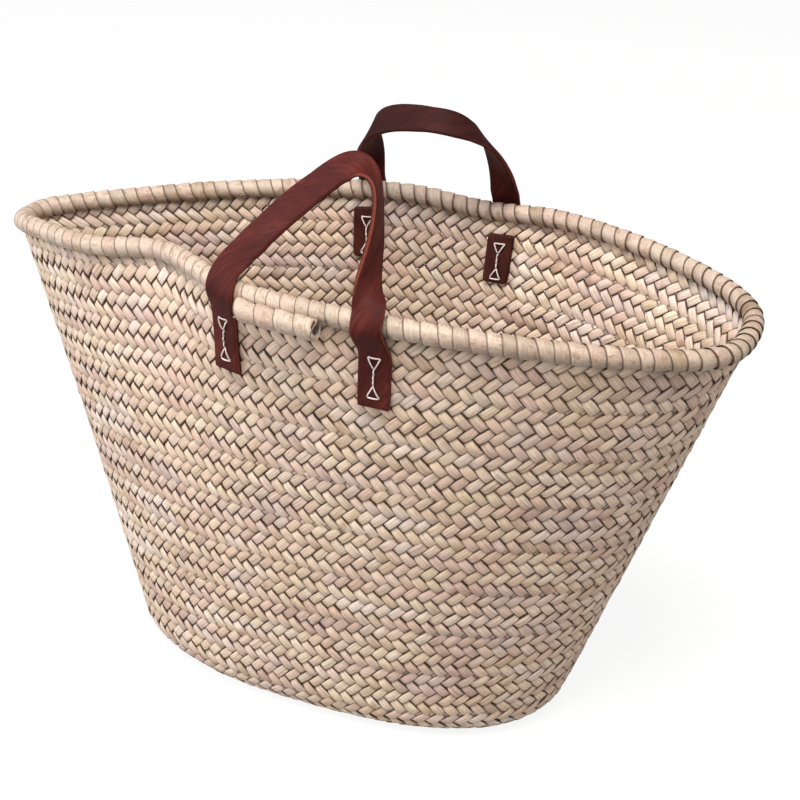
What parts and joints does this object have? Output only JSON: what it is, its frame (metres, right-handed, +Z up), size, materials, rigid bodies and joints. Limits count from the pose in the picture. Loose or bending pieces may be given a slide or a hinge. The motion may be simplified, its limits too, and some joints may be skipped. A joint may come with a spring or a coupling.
{
  "type": "palm leaf basket bag",
  "caption": "Flared oval market basket of coiled palm leaf plait with a wrapped rim and two stitched leather strap handles that swing over the mouth.",
  "frame": {"origin": "middle of the bag's footprint box, on the surface that it stands on", "axes": "+X along the bag's length to its wider end, -Y to the front, +Z up"},
  "size_m": [0.5776, 0.2838, 0.458],
  "materials": {
    "palm_leaf": "plaited dried palm leaf, matt, pinkish beige with grey-green and yellow strands",
    "pale_leaf": "wide pale palm leaf wound in overlapping turns, matt to silky",
    "leaf_cord": "twisted palm leaf cord, matt",
    "brown_leather": "dark reddish brown grained leather with pale raw edges",
    "white_thread": "thick waxed white thread"
  },
  "bodies": {
    "basket": {"palm_braid": "palm_leaf", "seam_cord": "leaf_cord", "rim_core": "palm_leaf", "rim_wrap": "pale_leaf", "rim_tail": "pale_leaf", "front_strap_tab_left": "brown_leather", "front_strap_tab_right": "brown_leather", "front_backing_patch_left": "brown_leather", "front_backing_patch_right": "brown_leather", "front_stitching_left_outer": "white_thread", "front_stitching_left_inner": "white_thread", "front_stitching_right_outer": "white_thread", "front_stitching_right_inner": "white_thread", "rear_strap_tab_left": "brown_leather", "rear_strap_tab_right": "brown_leather", "rear_backing_patch_left": "brown_leather", "rear_backing_patch_right": "brown_leather", "rear_stitching_left_outer": "white_thread", "rear_stitching_left_inner": "white_thread", "rear_stitching_right_outer": "white_thread", "rear_stitching_right_inner": "white_thread"},
    "front_handle": {"front_handle_loop": "brown_leather"},
    "rear_handle": {"rear_handle_loop": "brown_leather"}
  },
  "joints": [
    {"name": "front_handle_swing", "type": "hinge", "parent": "basket", "child": "front_handle", "pos_m": [0.00929, -0.12582, 0.37323], "axis": [0.9943, -0.1067, 0.0039], "range_deg": [-20, 160]},
    {"name": "rear_handle_swing", "type": "hinge", "parent": "basket", "child": "rear_handle", "pos_m": [0.00759, 0.13458, 0.35433], "axis": [-0.9959, -0.082, 0.0384], "range_deg": [-20, 160]}
  ]
}
